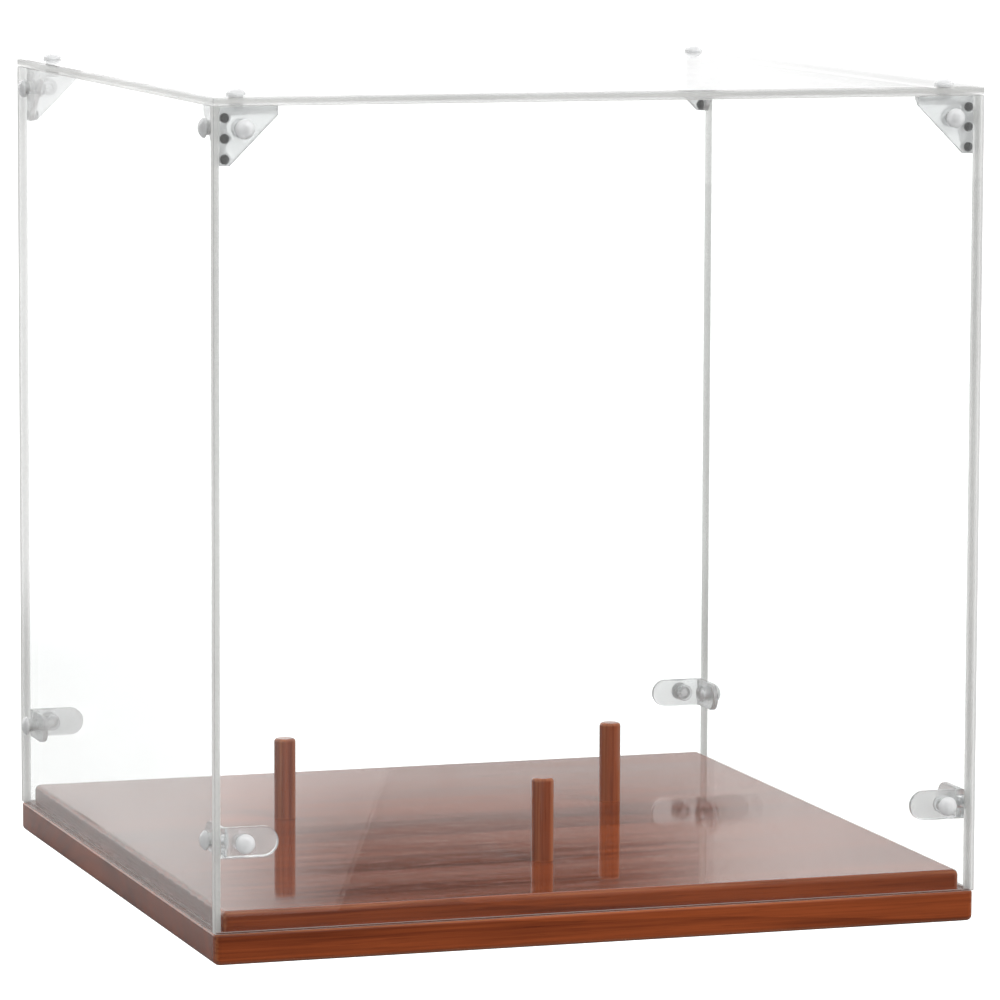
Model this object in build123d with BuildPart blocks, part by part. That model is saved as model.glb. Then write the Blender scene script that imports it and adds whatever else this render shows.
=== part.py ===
"""Clear ball display case on a stepped wooden base.

The board stands on four felt pads. Three pegs on its deck carry the ball. The cover is five clear sheets,
held together by a three-way bracket in each top corner and an L-shaped clip low on each upright edge. It
rests on the ledge around the deck, and lifts straight off.

Millimetres. The origin is at the middle of the footprint, on the surface that the pads stand on. +Z is up,
the front faces -Y, and +X is to the right.
"""
from build123d import *
import os

os.makedirs("parts", exist_ok=True)

# The whole case
case_side = 280.0
tiny = 0.001

# The board, its pads and its pegs
pad_thickness = 2.0
pad_radius = 10.0
pad_inset = 26.0
ledge_height = 11.0
ledge_width = 4.0
deck_rise = 7.0
board_corner_round = 2.5
deck_edge_round = 2.0
ledge_edge_round = 1.0
foot_edge_round = 2.0
peg_circle_radius = 74.0
peg_radius = 4.0
peg_stand = 30.0
peg_depth = 12.0
peg_hole_slack = 0.05
peg_top_round = 1.2
peg_foot_chamfer = 0.6

# The cover's sheets
sheet = 3.0
wall_height = 283.0
sheet_edge_chamfer = 0.25
butt_gap = 0.1

# The moulded brackets and clips. Lengths along a face start at the inner corner of the sheets.
moulding = 2.0
seat_gap = 0.05
inner_round = 1.5
rim_round = 0.5
bracket_leg = 20.6
bracket_tip = 3.6
bracket_rivet_place = 8.0
pocket_radius = 1.7
pocket_floor = 2.5
pocket_reach = 4.0
pocket_drops = (4.3, 11.3, 18.3)
clip_wing = 20.5
clip_height = 10.5
clip_lift = 31.0
clip_rivet_place = 7.8

# The snap rivets: a stud pushed into a cap
rivet_hole_radius = 2.5
tube_radius = 2.4
bore_radius = 1.5
stem_radius = 1.4
stem_tip = 0.4
tube_end_gap = 0.1
stud_head_radius = 3.4
stud_head_height = 2.3
stud_rim = 0.6
cap_head_radius = 3.25
cap_head_height = 1.6
cap_round = 0.7
cap_floor = 0.8

# Levels and distances that follow
half_side = case_side / 2
inner_half = half_side - sheet
deck_side = case_side - 2 * ledge_width
pad_place = half_side - pad_inset
ledge_z = pad_thickness + ledge_height
deck_z = ledge_z + deck_rise
wall_top_z = ledge_z + wall_height
clip_z = ledge_z + clip_lift
moulding_face = seat_gap + moulding

# The pegs' bearings around the deck's middle, in degrees, and each corner's x and y signs
pegs = {"front_peg": -90, "right_rear_peg": 30, "left_rear_peg": 150}
corners = {"front_left": (-1, -1), "front_right": (1, -1), "back_right": (1, 1), "back_left": (-1, 1)}
up = Vector(0, 0, 1)


def save(piece, name):
    piece.label = name
    export_step(piece, f"parts/{name}.step")


# The base


def is_ledge_rim(edge):
    """True for the ledge's outer edges, and not for the inner corner of the rebate."""
    middle = edge.center()
    return abs(middle.Z - ledge_z) < tiny and max(abs(middle.X), abs(middle.Y)) > inner_half


with BuildPart() as base_board:
    with BuildSketch(Plane.XY.offset(pad_thickness)):
        RectangleRounded(case_side, case_side, board_corner_round)
    extrude(amount=ledge_height)
    with BuildSketch(Plane.XY.offset(ledge_z)):
        RectangleRounded(deck_side, deck_side, board_corner_round)
    extrude(amount=deck_rise)
    fillet(base_board.edges().filter_by(is_ledge_rim), ledge_edge_round)
    fillet(base_board.edges().group_by(Axis.Z)[-1], deck_edge_round)
    fillet(base_board.edges().group_by(Axis.Z)[0], foot_edge_round)
    with BuildSketch(Plane.XY.offset(deck_z)):
        with PolarLocations(peg_circle_radius, len(pegs), start_angle=pegs["front_peg"]):
            Circle(peg_radius + peg_hole_slack)
    extrude(amount=-peg_depth - peg_hole_slack, mode=Mode.SUBTRACT)
save(base_board.part, "base_board")

for peg_name, bearing in pegs.items():
    foot = Plane(origin=Vector(peg_circle_radius, 0, deck_z - peg_depth).rotate(Axis.Z, bearing))
    with BuildPart() as peg:
        with BuildSketch(foot):
            Circle(peg_radius)
        extrude(amount=peg_depth + peg_stand)
        chamfer(peg.edges().group_by(Axis.Z)[0], peg_foot_chamfer)
        fillet(peg.edges().group_by(Axis.Z)[-1], peg_top_round)
    save(peg.part, peg_name)

for corner, (sign_x, sign_y) in corners.items():
    with BuildPart() as pad:
        with BuildSketch(Plane(origin=(sign_x * pad_place, sign_y * pad_place, 0))):
            Circle(pad_radius)
        extrude(amount=pad_thickness)
    save(pad.part, f"{corner}_pad")


# The cover's sheets

top_hole_spacing = 2 * (inner_half - bracket_rivet_place)
clip_hole_spacing = 2 * (inner_half - clip_rivet_place)

with BuildPart() as top_panel:
    with BuildSketch(Plane.XY.offset(wall_top_z)):
        Rectangle(case_side, case_side)
    extrude(amount=sheet)
    chamfer(top_panel.edges(), sheet_edge_chamfer)
    with BuildSketch(Plane.XY.offset(wall_top_z)):
        with GridLocations(top_hole_spacing, top_hole_spacing, 2, 2):
            Circle(rivet_hole_radius)
    extrude(amount=sheet, mode=Mode.SUBTRACT)
save(top_panel.part, "top_panel")

# The front and back sheets cover the ends of the left and right ones. In a wall's sketch, x runs across it
# and y runs up from the ledge.
side_width = 2 * (inner_half - butt_gap)
walls = {
    "front_panel": (Vector(0, -1, 0), case_side),
    "back_panel": (Vector(0, 1, 0), case_side),
    "left_panel": (Vector(-1, 0, 0), side_width),
    "right_panel": (Vector(1, 0, 0), side_width),
}
for wall_name, (outward, width) in walls.items():
    inner_face = Plane(origin=outward * inner_half + up * ledge_z, x_dir=up.cross(outward), z_dir=outward)
    with BuildPart() as wall:
        with BuildSketch(inner_face):
            Rectangle(width, wall_height - butt_gap, align=(Align.CENTER, Align.MIN))
        extrude(amount=sheet)
        chamfer(wall.edges(), sheet_edge_chamfer)
        with BuildSketch(inner_face):
            with Locations((0, wall_height - bracket_rivet_place)):
                with GridLocations(top_hole_spacing, 0, 2, 1):
                    Circle(rivet_hole_radius)
            with Locations((0, clip_lift)):
                with GridLocations(clip_hole_spacing, 0, 2, 1):
                    Circle(rivet_hole_radius)
        extrude(amount=sheet, mode=Mode.SUBTRACT)
    save(wall.part, wall_name)


# The brackets and clips. A seat is a face of the cover's inside, as a plane whose origin is the inner
# corner. Its x and y run away from the corner, and its z points into the case.


def inner_corner(corner, height):
    """The inner corner of the walls at a height, and the directions that run inwards along its two walls. The
    second is a quarter turn to the left of the first."""
    sign_x, sign_y = corners[corner]
    first = Vector(-sign_x - sign_y, sign_x - sign_y, 0).normalized()
    return Vector(sign_x * inner_half, sign_y * inner_half, height), first, up.cross(first)


def bracket_seats(corner):
    """The two walls and the ceiling at a top corner."""
    origin, first, second = inner_corner(corner, wall_top_z)
    return (
        Plane(origin=origin, x_dir=first, z_dir=second),
        Plane(origin=origin, x_dir=-up, z_dir=first),
        Plane(origin=origin, x_dir=second, z_dir=-up),
    )


def clip_seats(corner):
    """The two walls at an upright edge, level with its clip. Here x alone runs away from the corner."""
    origin, first, second = inner_corner(corner, clip_z)
    return Plane(origin=origin, x_dir=first, z_dir=second), Plane(origin=origin, x_dir=second, z_dir=first)


def from_corner(seat, edge):
    """How far an edge's middle is from the seat's three planes, nearest first."""
    middle = seat.to_local_coords(edge.center())
    return sorted((abs(middle.X), abs(middle.Y), abs(middle.Z)))


def corner_bracket(corner):
    """Three triangular flanges with cut tips, and three round pockets down the upright inner edge."""
    seats = bracket_seats(corner)
    outline = (
        (seat_gap, seat_gap),
        (bracket_leg, seat_gap),
        (bracket_leg, bracket_tip),
        (bracket_tip, bracket_leg),
        (seat_gap, bracket_leg),
    )
    slope_middle = (bracket_leg + bracket_tip) / 2
    diagonal = (seats[0].x_dir + seats[0].z_dir).normalized()

    def is_crease(edge):
        return abs(from_corner(seats[0], edge)[1] - moulding_face) < tiny

    def is_slope(edge):
        nearest, middle = from_corner(seats[0], edge)[:2]
        return abs(nearest - moulding_face) < tiny and abs(middle - slope_middle) < tiny

    with BuildPart() as bracket:
        for seat in seats:
            with BuildSketch(seat.offset(seat_gap)):
                Polygon(*outline, align=None)
            extrude(amount=moulding)
        fillet(bracket.edges().filter_by(is_crease), inner_round)
        fillet(bracket.edges().filter_by(is_slope), rim_round)
        for drop in pocket_drops:
            floor = seats[0].origin + diagonal * pocket_floor - up * drop
            with BuildSketch(Plane(origin=floor, z_dir=diagonal)):
                Circle(pocket_radius)
            extrude(amount=pocket_reach, mode=Mode.SUBTRACT)
        for seat in seats:
            with BuildSketch(seat):
                with Locations((bracket_rivet_place, bracket_rivet_place)):
                    Circle(rivet_hole_radius)
            extrude(amount=moulding_face, mode=Mode.SUBTRACT)
    return bracket.part


def edge_clip(corner):
    """Two wings with round ends, at right angles."""
    seats = clip_seats(corner)
    round_start = clip_wing - clip_height / 2

    def is_crease(edge):
        nearest, middle, furthest = from_corner(seats[0], edge)
        return nearest < tiny and abs(middle - moulding_face) < tiny and abs(furthest - moulding_face) < tiny

    def is_rim(edge):
        """True for the outline of the first wing's inner side, which runs on round the second wing."""
        middle = seats[0].to_local_coords(edge.center())
        return abs(middle.Z - moulding_face) < tiny and abs(middle.Y) > tiny

    with BuildPart() as clip:
        for seat in seats:
            with BuildSketch(seat.offset(seat_gap)):
                with Locations((seat_gap, 0)):
                    Rectangle(round_start - seat_gap, clip_height, align=(Align.MIN, Align.CENTER))
                with Locations((round_start, 0)):
                    Circle(clip_height / 2)
            extrude(amount=moulding)
        fillet(clip.edges().filter_by(is_crease), inner_round)
        fillet(clip.edges().filter_by(is_rim), rim_round)
        for seat in seats:
            with BuildSketch(seat):
                with Locations((clip_rivet_place, 0)):
                    Circle(rivet_hole_radius)
            extrude(amount=moulding_face, mode=Mode.SUBTRACT)
    return clip.part


# The rivets. Their profiles are drawn beside the rivet's axis: x is the radius, and y is the depth into the
# case from the sheet's inner face.


def profile_plane(seat, place):
    return Plane(origin=seat.from_local_coords(place), x_dir=seat.x_dir, z_dir=-seat.y_dir)


def rivet_studs(seats, place):
    """A domed head outside the sheet, and a stem that fills the cap's bore."""
    head_base = -sheet - seat_gap
    crown = head_base - stud_head_height
    stem_end = moulding_face + seat_gap + cap_head_height - cap_floor - tube_end_gap
    with BuildPart() as studs:
        for seat in seats:
            plane = profile_plane(seat, place)
            with BuildSketch(plane):
                with BuildLine():
                    TangentArc((0, crown), (stud_head_radius, head_base - stud_rim), tangent=(1, 0))
                    Polyline(
                        (stud_head_radius, head_base - stud_rim),
                        (stud_head_radius, head_base),
                        (stem_radius, head_base),
                        (stem_radius, stem_end - stem_tip),
                        (stem_radius - stem_tip, stem_end),
                        (0, stem_end),
                        (0, crown),
                    )
                make_face()
            revolve(axis=Axis(plane.origin, plane.y_dir))
    return studs.part


def rivet_caps(seats, place):
    """A round flange against the moulding, and a tube through the moulding and the sheet."""
    head_base = moulding_face + seat_gap
    head_end = head_base + cap_head_height
    tube_end = -sheet + tube_end_gap
    bore_end = head_end - cap_floor
    with BuildPart() as caps:
        for seat in seats:
            plane = profile_plane(seat, place)
            with BuildSketch(plane):
                with BuildLine():
                    Polyline(
                        (cap_head_radius, head_end - cap_round),
                        (cap_head_radius, head_base),
                        (tube_radius, head_base),
                        (tube_radius, tube_end),
                        (bore_radius, tube_end),
                        (bore_radius, bore_end),
                        (0, bore_end),
                        (0, head_end),
                        (cap_head_radius - cap_round, head_end),
                    )
                    TangentArc(
                        (cap_head_radius - cap_round, head_end),
                        (cap_head_radius, head_end - cap_round),
                        tangent=(1, 0),
                    )
                make_face()
            revolve(axis=Axis(plane.origin, plane.y_dir))
    return caps.part


for corner in corners:
    bracket_place = (bracket_rivet_place, bracket_rivet_place, 0)
    clip_place = (clip_rivet_place, 0, 0)
    save(corner_bracket(corner), f"{corner}_corner_bracket")
    save(rivet_studs(bracket_seats(corner), bracket_place), f"{corner}_bracket_studs")
    save(rivet_caps(bracket_seats(corner), bracket_place), f"{corner}_bracket_caps")
    save(edge_clip(corner), f"{corner}_edge_clip")
    save(rivet_studs(clip_seats(corner), clip_place), f"{corner}_clip_studs")
    save(rivet_caps(clip_seats(corner), clip_place), f"{corner}_clip_caps")
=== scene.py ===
"""Looks for the clear ball display case: stained wood, clear acrylic and moulded clear fittings.

Metres, in the CAD frame: +Z is up, the front faces -Y, and +X is to the right.
"""

import math

import bpy
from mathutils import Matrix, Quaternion, Vector


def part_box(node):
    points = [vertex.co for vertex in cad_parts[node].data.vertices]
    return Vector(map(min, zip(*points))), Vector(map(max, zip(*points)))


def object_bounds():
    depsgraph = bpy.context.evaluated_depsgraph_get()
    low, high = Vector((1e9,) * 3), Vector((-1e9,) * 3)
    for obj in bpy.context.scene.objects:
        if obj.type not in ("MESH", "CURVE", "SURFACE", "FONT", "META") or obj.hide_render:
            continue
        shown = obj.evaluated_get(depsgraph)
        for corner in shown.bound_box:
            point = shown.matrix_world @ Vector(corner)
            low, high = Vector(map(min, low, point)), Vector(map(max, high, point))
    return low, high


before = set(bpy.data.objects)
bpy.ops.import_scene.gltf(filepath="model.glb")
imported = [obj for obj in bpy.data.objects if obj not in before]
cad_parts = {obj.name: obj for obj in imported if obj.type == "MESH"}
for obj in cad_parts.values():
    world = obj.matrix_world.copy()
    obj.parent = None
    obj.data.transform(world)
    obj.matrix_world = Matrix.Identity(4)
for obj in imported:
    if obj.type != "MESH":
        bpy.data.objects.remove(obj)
cad_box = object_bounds()
case_centre = (cad_box[0] + cad_box[1]) / 2
millimetre = 0.001
white = (1, 1, 1, 1)
corner_signs = {"front_left": (-1, -1), "front_right": (1, -1), "back_right": (1, 1), "back_left": (-1, 1)}

# The camera. Azimuth 0 looks along +Y.
camera_place = (-0.6763, -2.0875, 0.4096)
camera_azimuth = math.radians(-18.144)
camera_elevation = math.radians(6.967)
camera_roll = math.radians(0.211)
camera_lens = 216.22
camera_sensor = 36.0


# Nodes


def node(tree, kind, inputs=None, **settings):
    """Adds a node. inputs gives each socket, by name or number, its value or the output that feeds it."""
    made = tree.nodes.new("ShaderNode" + kind)
    for name, value in settings.items():
        setattr(made, name, value)
    for name, value in (inputs or {}).items():
        if isinstance(value, bpy.types.NodeSocket):
            tree.links.new(value, made.inputs[name])
        else:
            made.inputs[name].default_value = value
    return made


def maths(tree, operation, a, b=0.0):
    return node(tree, "Math", {0: a, 1: b}, operation=operation).outputs[0]


def weighted(tree, *terms):
    """The sum of each term's value times its weight."""
    total = None
    for value, weight in terms:
        term = maths(tree, "MULTIPLY", value, weight)
        total = term if total is None else maths(tree, "ADD", total, term)
    return total


def between(tree, value, low, high, to_low=0.0, to_high=1.0):
    """value carried smoothly from the range low to high into the range to_low to to_high."""
    inputs = {"Value": value, "From Min": low, "From Max": high, "To Min": to_low, "To Max": to_high}
    return node(tree, "MapRange", inputs, interpolation_type="SMOOTHSTEP").outputs["Result"]


def vector(tree, operation, a, b=(0, 0, 0)):
    return node(tree, "VectorMath", {0: a, 1: b}, operation=operation)


def parts_of(tree, place):
    """The x, y and z of a vector."""
    return node(tree, "SeparateXYZ", {0: place}).outputs


def noise(tree, place, scale, detail=2.0, roughness=0.5):
    """Noise from 0 to 1. scale is how fast it changes in a metre: one number for each axis."""
    stretched = node(tree, "Mapping", {"Vector": place, "Scale": scale}).outputs["Vector"]
    inputs = {"Vector": stretched, "Scale": 1.0, "Detail": detail, "Roughness": roughness}
    return node(tree, "TexNoise", inputs).outputs["Fac"]


def even_noise(tree, place, scale, detail=2.0, roughness=0.5):
    """Noise that changes as fast along every axis."""
    return noise(tree, place, (scale, scale, scale), detail, roughness)


def mixed(tree, factor, a, b):
    """A colour between a and b. The Mix node has its colours in sockets 6 and 7 and its result in 2."""
    return node(tree, "Mix", {0: factor, 6: a, 7: b}, data_type="RGBA").outputs[2]


def bumped(tree, height, distance, strength=1.0):
    inputs = {"Height": height, "Distance": distance, "Strength": strength}
    return node(tree, "Bump", inputs).outputs["Normal"]


def blended(tree, factor, a, b):
    """The shader of node a where factor is 0, and of node b where it is 1."""
    return node(tree, "MixShader", {0: factor, 1: a.outputs[0], 2: b.outputs[0]})


def new_material(name):
    material = bpy.data.materials.new(name)
    material.use_nodes = True
    tree = material.node_tree
    tree.nodes.clear()
    return material, tree, node(tree, "OutputMaterial")


# Wood

mahogany_dark = (0.075, 0.013, 0.004, 1)
mahogany_light = (0.27, 0.058, 0.016, 1)
# The paler colour of the rounded edges: partly stain thinned by use, partly a painted highlight
mahogany_worn_and_highlight = (0.42, 0.17, 0.075, 1)
dowel_dark = (0.13, 0.028, 0.010, 1)
dowel_light = (0.32, 0.085, 0.032, 1)
# A point on the heart of the log, with the grain along X
board_pith = (0, 0.02, -0.09)
dowel_pith = (0, 0.03, 0.02)
ring_width = 6.5 * millimetre
ring_sway = 30 * millimetre
grain_relief = 0.02 * millimetre
# How fast each part of the grain changes in a metre: along the grain, then across it
sway_scale = (3, 9, 9)
fibre_scale = (16, 900, 900)
band_scale = (5, 75, 75)
pore_scale = (60, 2200, 2200)
cloud_scale = (6, 16, 16)


def growth_rings(tree, place, pith):
    """A mask of the dark late wood in each growth ring round the line along X through pith."""
    sway = noise(tree, place, sway_scale)
    across = parts_of(tree, vector(tree, "SUBTRACT", place, pith).outputs[0])
    squares = maths(tree, "ADD", maths(tree, "POWER", across[1], 2.0), maths(tree, "POWER", across[2], 2.0))
    swayed = maths(tree, "ADD", maths(tree, "SQRT", squares), maths(tree, "MULTIPLY", sway, ring_sway))
    ring = maths(tree, "FRACT", maths(tree, "DIVIDE", swayed, ring_width))
    return between(tree, ring, 0.35, 0.95)


def rounded_edges(tree, normal):
    """A mask of the surface that turns from one flat face to the next."""
    sides = parts_of(tree, vector(tree, "ABSOLUTE", normal).outputs[0])
    flatness = maths(tree, "MAXIMUM", maths(tree, "MAXIMUM", sides[0], sides[1]), sides[2])
    return between(tree, flatness, 0.97, 0.75)


def wood(name, grain_axis, dark, light, worn_and_highlight, pith):
    """Stained and lacquered wood with its grain along grain_axis. Its rounded edges are painted paler:
    partly stain thinned by use, partly a painted highlight.
    """
    material, tree, output = new_material(name)
    coords = node(tree, "TexCoord").outputs
    place = coords["Object"]
    if grain_axis == "Z":
        laid_along_x = {"Vector": place, "Rotation": (0, math.radians(90), 0)}
        place = node(tree, "Mapping", laid_along_x).outputs["Vector"]

    late_wood = growth_rings(tree, place, pith)
    fibres = noise(tree, place, fibre_scale, 3.0, 0.6)
    bands = noise(tree, place, band_scale, 3.0, 0.6)
    pores = between(tree, noise(tree, place, pore_scale, 1.0), 0.62, 0.74)
    clouds = noise(tree, place, cloud_scale, 3.0)

    shade = weighted(tree, (fibres, 0.5), (clouds, 0.35), (bands, 0.45), (late_wood, -0.12))
    colour = mixed(tree, between(tree, shade, 0.3, 0.85), dark, light)
    colour = mixed(tree, maths(tree, "MULTIPLY", pores, 0.45), colour, dark)
    # Rounded edges are painted paler along the grain: partly stain thinned by use, partly a painted
    # highlight.
    wear_and_highlight = between(tree, fibres, 0.3, 0.7, 0.1, 0.45)
    rubbed_and_highlit = maths(tree, "MULTIPLY", rounded_edges(tree, coords["Normal"]), wear_and_highlight)
    colour = mixed(tree, rubbed_and_highlit, colour, worn_and_highlight)

    gloss = between(tree, bands, 0.3, 0.7, 0.035, 0.07)
    relief = bumped(tree, weighted(tree, (fibres, 0.5), (pores, -1.0)), grain_relief, 0.07)
    shader = node(tree, "BsdfPrincipled", {"Base Color": colour, "Roughness": gloss, "Normal": relief})
    tree.links.new(shader.outputs[0], output.inputs[0])
    return material


# Clear plastic

acrylic_clear = (0.985, 0.99, 0.988, 1)
edge_grey = (0.56, 0.56, 0.55, 1)
edge_pale = (0.70, 0.70, 0.69, 1)
saw_relief = 0.05 * millimetre
# The share of light that a face mirrors when it is seen square on
mirrored_square_on = 0.04
# The share of a cut edge's look that comes from the light inside the sheet
edge_glow = 0.6
# How solid a cut edge looks, where 0 is clear: in the middle of the sheet, and at the faces
edge_solid_in_middle = 0.95
wall_edge_solid_at_face = 0.75
top_edge_solid_at_face = 0.3


def acrylic_face(tree, place):
    """A clear face, which mirrors more the more it is seen at a slant, and has faint smudges."""
    facing = node(tree, "LayerWeight", {"Blend": 0.5}).outputs["Facing"]
    at_slant = maths(tree, "MULTIPLY", maths(tree, "POWER", facing, 5.0), 1.0 - mirrored_square_on)
    mirrored = maths(tree, "ADD", at_slant, mirrored_square_on)
    polish = between(tree, even_noise(tree, place, 18, 4.0), 0.4, 0.8, 0.015, 0.06)
    clear = node(tree, "BsdfTransparent", {"Color": acrylic_clear})
    gloss = node(tree, "BsdfGlossy", {"Color": white, "Roughness": polish})
    return blended(tree, mirrored, clear, gloss)


def acrylic_edge(tree, place, panel, thin_axis):
    """A pale sawn edge, which holds the light that comes along inside the sheet. It gets clearer from the
    middle of the sheet out to its faces."""
    lowest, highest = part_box(panel)
    middle = (lowest[thin_axis] + highest[thin_axis]) / 2
    half_sheet = (highest[thin_axis] - lowest[thin_axis]) / 2
    depth = parts_of(tree, place)[thin_axis]
    off_middle = maths(tree, "ABSOLUTE", maths(tree, "SUBTRACT", depth, middle))
    off_middle = maths(tree, "DIVIDE", off_middle, half_sheet)
    solid_at_face = top_edge_solid_at_face if thin_axis == 2 else wall_edge_solid_at_face
    solid = between(tree, off_middle, 0.2, 1.0, edge_solid_in_middle, solid_at_face)

    saw_marks = even_noise(tree, place, 900)
    tone = weighted(tree, (saw_marks, 0.3), (even_noise(tree, place, 12), 0.7))
    colour = mixed(tree, between(tree, tone, 0.3, 0.7), edge_grey, edge_pale)
    relief = bumped(tree, saw_marks, saw_relief, 0.5)
    matt = node(tree, "BsdfPrincipled", {"Base Color": colour, "Roughness": 0.3, "Normal": relief})
    lit_from_inside = node(tree, "BsdfTranslucent", {"Color": colour})
    see_through = node(tree, "BsdfTransparent", {"Color": white})
    return blended(tree, solid, see_through, blended(tree, edge_glow, matt, lit_from_inside))


def sheet_acrylic(panel, thin_axis):
    """Clear sheet with clear faces and pale cut edges. A wall's foot is clear, and shows the ledge below."""
    material, tree, output = new_material(f"{panel}_acrylic")
    coords = node(tree, "TexCoord").outputs
    place = coords["Object"]
    squareness = parts_of(tree, vector(tree, "ABSOLUTE", coords["Normal"]).outputs[0])[thin_axis]
    cut = between(tree, squareness, 0.95, 0.75)
    if thin_axis != 2:
        upward = parts_of(tree, coords["Normal"])[2]
        cut = maths(tree, "MULTIPLY", cut, between(tree, upward, -0.6, -0.3))
    whole = blended(tree, cut, acrylic_face(tree, place), acrylic_edge(tree, place, panel, thin_axis))
    tree.links.new(whole.outputs[0], output.inputs[0])
    return material


bracket_tint = (0.72, 0.725, 0.73)
clip_tint = (0.84, 0.845, 0.85)
stud_tint = (0.80, 0.805, 0.81)
cap_tint = (0.92, 0.925, 0.93)
moulding_shadow = (0.75, 0.75, 0.75, 1)
moulded_relief = 0.03 * millimetre
# Near black painted shade for the pockets in the brackets
pocket_painted_shade = (0.02, 0.02, 0.02, 1)


def moulded(name, tint, roughness, milk, pockets=None):
    """Clear moulded plastic, as cloudy as milk says. pockets, if given, makes a mask of its pockets, which
    are darkened with painted shade.
    """
    material, tree, output = new_material(name)
    place = node(tree, "TexCoord").outputs["Object"]
    flow = even_noise(tree, place, 160, 3.0)
    shaded_tint = [part * 0.94 for part in tint]
    colour = mixed(tree, between(tree, flow, 0.3, 0.7), [*shaded_tint, 1], [*tint, 1])
    if pockets is not None:
        # The pockets are darkened with painted shade.
        colour = mixed(tree, pockets(tree, place), colour, pocket_painted_shade)
    body = node(tree, "BsdfPrincipled", {
        "Base Color": colour,
        "Roughness": between(tree, flow, 0.3, 0.7, roughness * 0.7, roughness * 1.3),
        "IOR": 1.49,
        "Transmission Weight": 1.0 - milk,
        "Normal": bumped(tree, flow, moulded_relief, 0.5),
    })
    lit = node(tree, "BsdfTransparent", {"Color": moulding_shadow})
    whole = blended(tree, node(tree, "LightPath").outputs["Is Shadow Ray"], body, lit)
    tree.links.new(whole.outputs[0], output.inputs[0])
    return material


pocket_pitch = 7.0 * millimetre
first_pocket_drop = 4.3 * millimetre
pocket_depth = 2.45 * millimetre
pocket_core = 2.4 * millimetre


def pocket_shade_mask(corner):
    """A function that makes the mask of the painted shade in a bracket's three pockets: a round core to
    each, down its edge.
    """
    sign_x, sign_y = corner_signs[corner]
    lowest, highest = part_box(f"{corner}_corner_bracket")
    reach = max(abs(highest.x), abs(lowest.x))
    # The pockets point along the diagonal of the case: a step of 1 along it is this much of x and of y
    diagonal = math.sqrt(0.5)
    # Whole pitches keep the drop above 0, and the half puts each pocket in the middle of its own pitch
    pitches_above = 5.5

    def mask(tree, place):
        x, y, z = parts_of(tree, place)
        across = weighted(tree, (x, sign_x * diagonal), (y, -sign_y * diagonal))
        inward = weighted(tree, (x, -sign_x * diagonal), (y, -sign_y * diagonal))
        deep = maths(tree, "ADD", inward, 2 * reach * diagonal - pocket_depth)
        drop = maths(tree, "SUBTRACT", highest.z - first_pocket_drop + pitches_above * pocket_pitch, z)
        along = maths(tree, "SUBTRACT", maths(tree, "MODULO", drop, pocket_pitch), pocket_pitch / 2)
        offset = node(tree, "CombineXYZ", {0: across, 1: deep, 2: along}).outputs[0]
        distance = vector(tree, "LENGTH", offset).outputs["Value"]
        return between(tree, distance, pocket_core * 1.08, pocket_core * 0.92)

    return mask


# Felt

felt_dark = (0.012, 0.009, 0.008, 1)
felt_light = (0.07, 0.055, 0.048, 1)
felt_relief = 0.2 * millimetre


def felt(name):
    material, tree, output = new_material(name)
    place = node(tree, "TexCoord").outputs["Object"]
    fibres = even_noise(tree, place, 1400, 4.0, 0.7)
    shader = node(tree, "BsdfPrincipled", {
        "Base Color": mixed(tree, fibres, felt_dark, felt_light),
        "Roughness": 0.95,
        "Sheen Weight": 0.3,
        "Normal": bumped(tree, fibres, felt_relief),
    })
    tree.links.new(shader.outputs[0], output.inputs[0])
    return material


# Which piece has which material


def dress(name, material):
    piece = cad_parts[name]
    piece.data.materials.clear()
    piece.data.materials.append(material)


def dress_base():
    dress("base_board", wood("board_wood", "X", mahogany_dark, mahogany_light, mahogany_worn_and_highlight, board_pith))
    peg_wood = wood("peg_wood", "Z", dowel_dark, dowel_light, mahogany_worn_and_highlight, dowel_pith)
    for name in ("front_peg", "right_rear_peg", "left_rear_peg"):
        dress(name, peg_wood)
    felt_look = felt("felt")
    for corner in corner_signs:
        dress(f"{corner}_pad", felt_look)


def dress_cover():
    thin_axes = {"front_panel": 1, "back_panel": 1, "left_panel": 0, "right_panel": 0, "top_panel": 2}
    for name, thin_axis in thin_axes.items():
        dress(name, sheet_acrylic(name, thin_axis))
    cloudy_stud = moulded("cloudy_stud", stud_tint, roughness=0.15, milk=0.6)
    clear_cap = moulded("clear_cap", cap_tint, roughness=0.15, milk=0.15)
    clear_clip = moulded("clear_clip", clip_tint, roughness=0.2, milk=0.12)
    for corner in corner_signs:
        bracket_plastic = moulded(f"{corner}_bracket_plastic", bracket_tint, roughness=0.2, milk=0.4,
                                  pockets=pocket_shade_mask(corner))
        dress(f"{corner}_corner_bracket", bracket_plastic)
        dress(f"{corner}_edge_clip", clear_clip)
        for held in ("bracket", "clip"):
            dress(f"{corner}_{held}_studs", cloudy_stud)
            dress(f"{corner}_{held}_caps", clear_cap)


# The studio

floor_half = 15.0
paper_pale = (0.9, 0.9, 0.9, 1)
paper_plain = (0.36, 0.36, 0.36, 1)
# The share of even light in the look of the pale paper
paper_glow = 0.85
# How bright the camera sees the studio: straight, and through a moulding, in front of the case and behind it
straight_strength = 1.7
through_front_strength = 0.9
through_behind_strength = 1.15
# How far from the case's middle the mirrored floor starts to be bright, and where it is wholly so
far_floor = (0.4, 1.0)
mirrored_floor_strength = 1.1

# The edge of the pale reflection across the front panel: x and z of a high and a low point on it
glare_top = (-0.0024, 0.2664)
glare_foot = (-0.0846, 0.0111)
# How far over the floor the cards lie, how far the black one runs out in front of the case, and how far the
# cards reach to each side
card_lift = 0.5 * millimetre
black_card_width = 0.09
card_reach = 4.0
black_card_strength = 0.1
white_card_strength = 0.55

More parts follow.
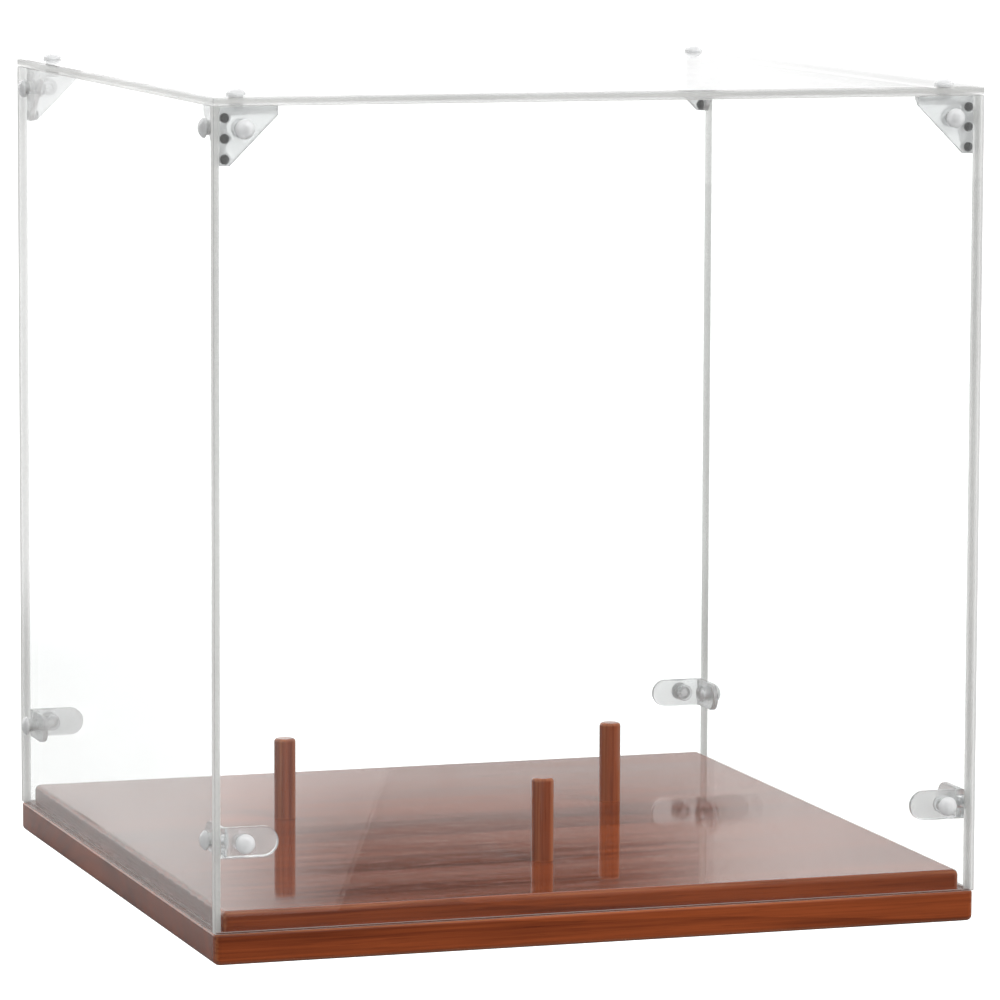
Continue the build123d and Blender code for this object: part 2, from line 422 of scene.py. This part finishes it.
# How bright the world is in front of the case and behind it, and what multiplies that on the left and right
front_strength = 0.45
back_strength = 1.1
left_share = 1.45
right_share = 0.78
# The soft flag behind the case. flag_slant is where its middle hangs: its direction's x over its y. It is
# dark up to flag_core from there, and gone at flag_fringe. Its foot and head are each two values of the
# direction's z: where the flag is gone, and where it is whole.
flag_slant = 0.325
flag_core = 0.02
flag_fringe = 0.065
flag_foot = (0.160, 0.1815)
flag_head = (0.55, 0.3)
flag_depth = 0.95


def card(name, points, material):
    """A flat card for the studio."""
    mesh = bpy.data.meshes.new(name)
    mesh.from_pydata(points, [], [range(len(points))])
    mesh.materials.append(material)
    made = bpy.data.objects.new(name, mesh)
    bpy.context.scene.collection.objects.link(made)
    return made


def shown_white(tree, behind):
    """Whether a ray shows the studio to the camera, straight or through a moulding, and how bright it is
    then. Through a moulding it is brighter behind the case than in front. behind says how far behind, in
    metres or as a cosine."""
    rays = node(tree, "LightPath").outputs
    through = rays["Is Transmission Ray"]
    straight = rays["Is Camera Ray"]
    shown = maths(tree, "MAXIMUM", straight, through)
    through_strength = between(tree, behind, -0.1, 0.5, through_front_strength, through_behind_strength)
    return shown, weighted(tree, (straight, straight_strength), (through, through_strength))


def studio_paper():
    """Pale paper. To the camera it is evenly lit, as a product photograph's floor is, and so is the mirror
    image of it from well away from the case. All else meets plain paper."""
    material, tree, output = new_material("studio_paper")
    place = node(tree, "TexCoord").outputs["Object"]
    shown, strength = shown_white(tree, parts_of(tree, place)[1])
    away = vector(tree, "LENGTH", place).outputs["Value"]
    glossy = node(tree, "LightPath").outputs["Is Glossy Ray"]
    mirrored = maths(tree, "MULTIPLY", glossy, between(tree, away, *far_floor))
    shown = maths(tree, "MAXIMUM", shown, mirrored)
    strength = maths(tree, "ADD", strength, maths(tree, "MULTIPLY", mirrored, mirrored_floor_strength))
    plain = node(tree, "BsdfDiffuse", {"Color": paper_plain})
    pale = node(tree, "BsdfDiffuse", {"Color": paper_pale})
    lit = node(tree, "Emission", {"Color": white, "Strength": strength})
    whole = blended(tree, shown, plain, blended(tree, paper_glow, pale, lit))
    tree.links.new(whole.outputs[0], output.inputs[0])
    return material


def studio_floor():
    corners = [(floor_half * x, floor_half * y, 0) for x, y in corner_signs.values()]
    card("studio_floor", corners, studio_paper())


def glowing(name, strength):
    material, tree, output = new_material(name)
    lit = node(tree, "Emission", {"Color": white, "Strength": strength})
    tree.links.new(lit.outputs[0], output.inputs[0])
    return material


def mirrored_floor_point(x, z):
    """The place on the floor that the camera sees mirrored at x and z on the front panel's face."""
    face_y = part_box("front_panel")[0].y
    behind = Vector((camera_place[0], 2 * face_y - camera_place[1], camera_place[2]))
    met = Vector((x, face_y, z))
    ray = met - behind
    return met + ray * (met.z / -ray.z)


def reflection_cards():
    """Two cards on the floor in front, seen only as reflections: a black one that keeps the front of the
    wood and the right of the front panel clear, and a white one that gives the panel's left its pale
    reflection."""
    foot = mirrored_floor_point(*glare_foot)
    far = mirrored_floor_point(*glare_top)
    front = cad_box[0].y
    near = front - black_card_width
    black = (
        (-card_reach, front, card_lift), (-card_reach, near, card_lift), (foot.x, near, card_lift),
        (far.x, far.y, card_lift), (card_reach, far.y, card_lift), (card_reach, front, card_lift),
    )
    pale = (
        (-card_reach, near, card_lift), (-card_reach, far.y, card_lift),
        (far.x, far.y, card_lift), (foot.x, near, card_lift),
    )
    shapes = (("black_flag", black, black_card_strength), ("white_card", pale, white_card_strength))
    for name, points, strength in shapes:
        made = card(name, points, glowing(name, strength))
        made.visible_camera = False
        made.visible_diffuse = False
        made.visible_transmission = False
        made.visible_shadow = False


def lamp(name, light, facing):
    """Hangs a light, too soft to be mirrored, that shines from the direction facing."""
    made = bpy.data.objects.new(name, light)
    bpy.context.scene.collection.objects.link(made)
    made.rotation_mode = "QUATERNION"
    made.rotation_quaternion = facing.to_track_quat("Z", "Y")
    made.visible_glossy = False
    return made


def sunlight(name, direction, strength, width):
    """An even, soft key light from direction. width is how wide it is, in degrees."""
    light = bpy.data.lights.new(name, "SUN")
    light.energy = strength
    light.angle = math.radians(width)
    lamp(name, light, Vector(direction))


def softbox(name, place, width, height, watts):
    """A soft rectangular light aimed at the case."""
    light = bpy.data.lights.new(name, "AREA")
    light.shape = "RECTANGLE"
    light.size = width
    light.size_y = height
    light.energy = watts
    hung = lamp(name, light, Vector(place) - case_centre)
    hung.location = place


def soft_flag(tree, x, y, z):
    """A mask of the flag's part of the world. It is 1 in the flag's middle."""
    aside = maths(tree, "ABSOLUTE", maths(tree, "SUBTRACT", maths(tree, "DIVIDE", x, y), flag_slant))
    sides = between(tree, aside, flag_core, flag_fringe, 1.0, 0.0)
    flag = maths(tree, "MULTIPLY", sides, between(tree, z, *flag_foot))
    flag = maths(tree, "MULTIPLY", flag, between(tree, z, *flag_head))
    behind_case = between(tree, y, 0.0, 0.5)
    return maths(tree, "MULTIPLY", flag, behind_case)


def backdrop():
    """A world that is bright behind the case and dim in front, with a soft flag low down behind that keeps
    the middle of the deck from turning pale. The camera sees it plain white."""
    world = bpy.data.worlds.new("studio")
    bpy.context.scene.world = world
    world.use_nodes = True
    tree = world.node_tree
    tree.nodes.clear()
    x, y, z = parts_of(tree, node(tree, "TexCoord").outputs["Generated"])
    evenly = between(tree, y, 0.0, 0.85, front_strength, back_strength)
    strength = maths(tree, "MULTIPLY", evenly, between(tree, x, 0.22, 0.42, left_share, right_share))
    darkened = maths(tree, "MULTIPLY", soft_flag(tree, x, y, z), flag_depth)
    strength = maths(tree, "MULTIPLY", strength, maths(tree, "SUBTRACT", 1.0, darkened))
    around = node(tree, "Background", {"Color": white, "Strength": strength})
    shown, shown_strength = shown_white(tree, y)
    plain_white = node(tree, "Background", {"Color": white, "Strength": shown_strength})
    whole = blended(tree, shown, around, plain_white)
    output = node(tree, "OutputWorld")
    tree.links.new(whole.outputs[0], output.inputs[0])


def camera():
    lens = bpy.data.cameras.new("camera")
    lens.lens = camera_lens
    lens.sensor_width = camera_sensor
    made = bpy.data.objects.new("camera", lens)
    bpy.context.scene.collection.objects.link(made)
    back = Vector((
        math.sin(camera_azimuth) * math.cos(camera_elevation),
        -math.cos(camera_azimuth) * math.cos(camera_elevation),
        math.sin(camera_elevation),
    ))
    made.location = camera_place
    made.rotation_mode = "QUATERNION"
    made.rotation_quaternion = back.to_track_quat("Z", "Y") @ Quaternion((0, 0, 1), camera_roll)
    bpy.context.scene.camera = made


def light_paths(scene):
    """Enough bounces for a ray that goes through every sheet and moulding in its way."""
    scene.cycles.transparent_max_bounces = 24
    scene.cycles.max_bounces = 10
    scene.cycles.diffuse_bounces = 3
    scene.cycles.glossy_bounces = 4


dress_base()
dress_cover()
studio_floor()
reflection_cards()
backdrop()
sunlight("key_light", direction=(0.5, -0.85, 0.8), strength=2.6, width=30)
softbox("top_light", place=(-0.2, 0.3, 2.2), width=1.6, height=1.6, watts=12)
camera()
bpy.context.scene.view_settings.view_transform = "Standard"
light_paths(bpy.context.scene)
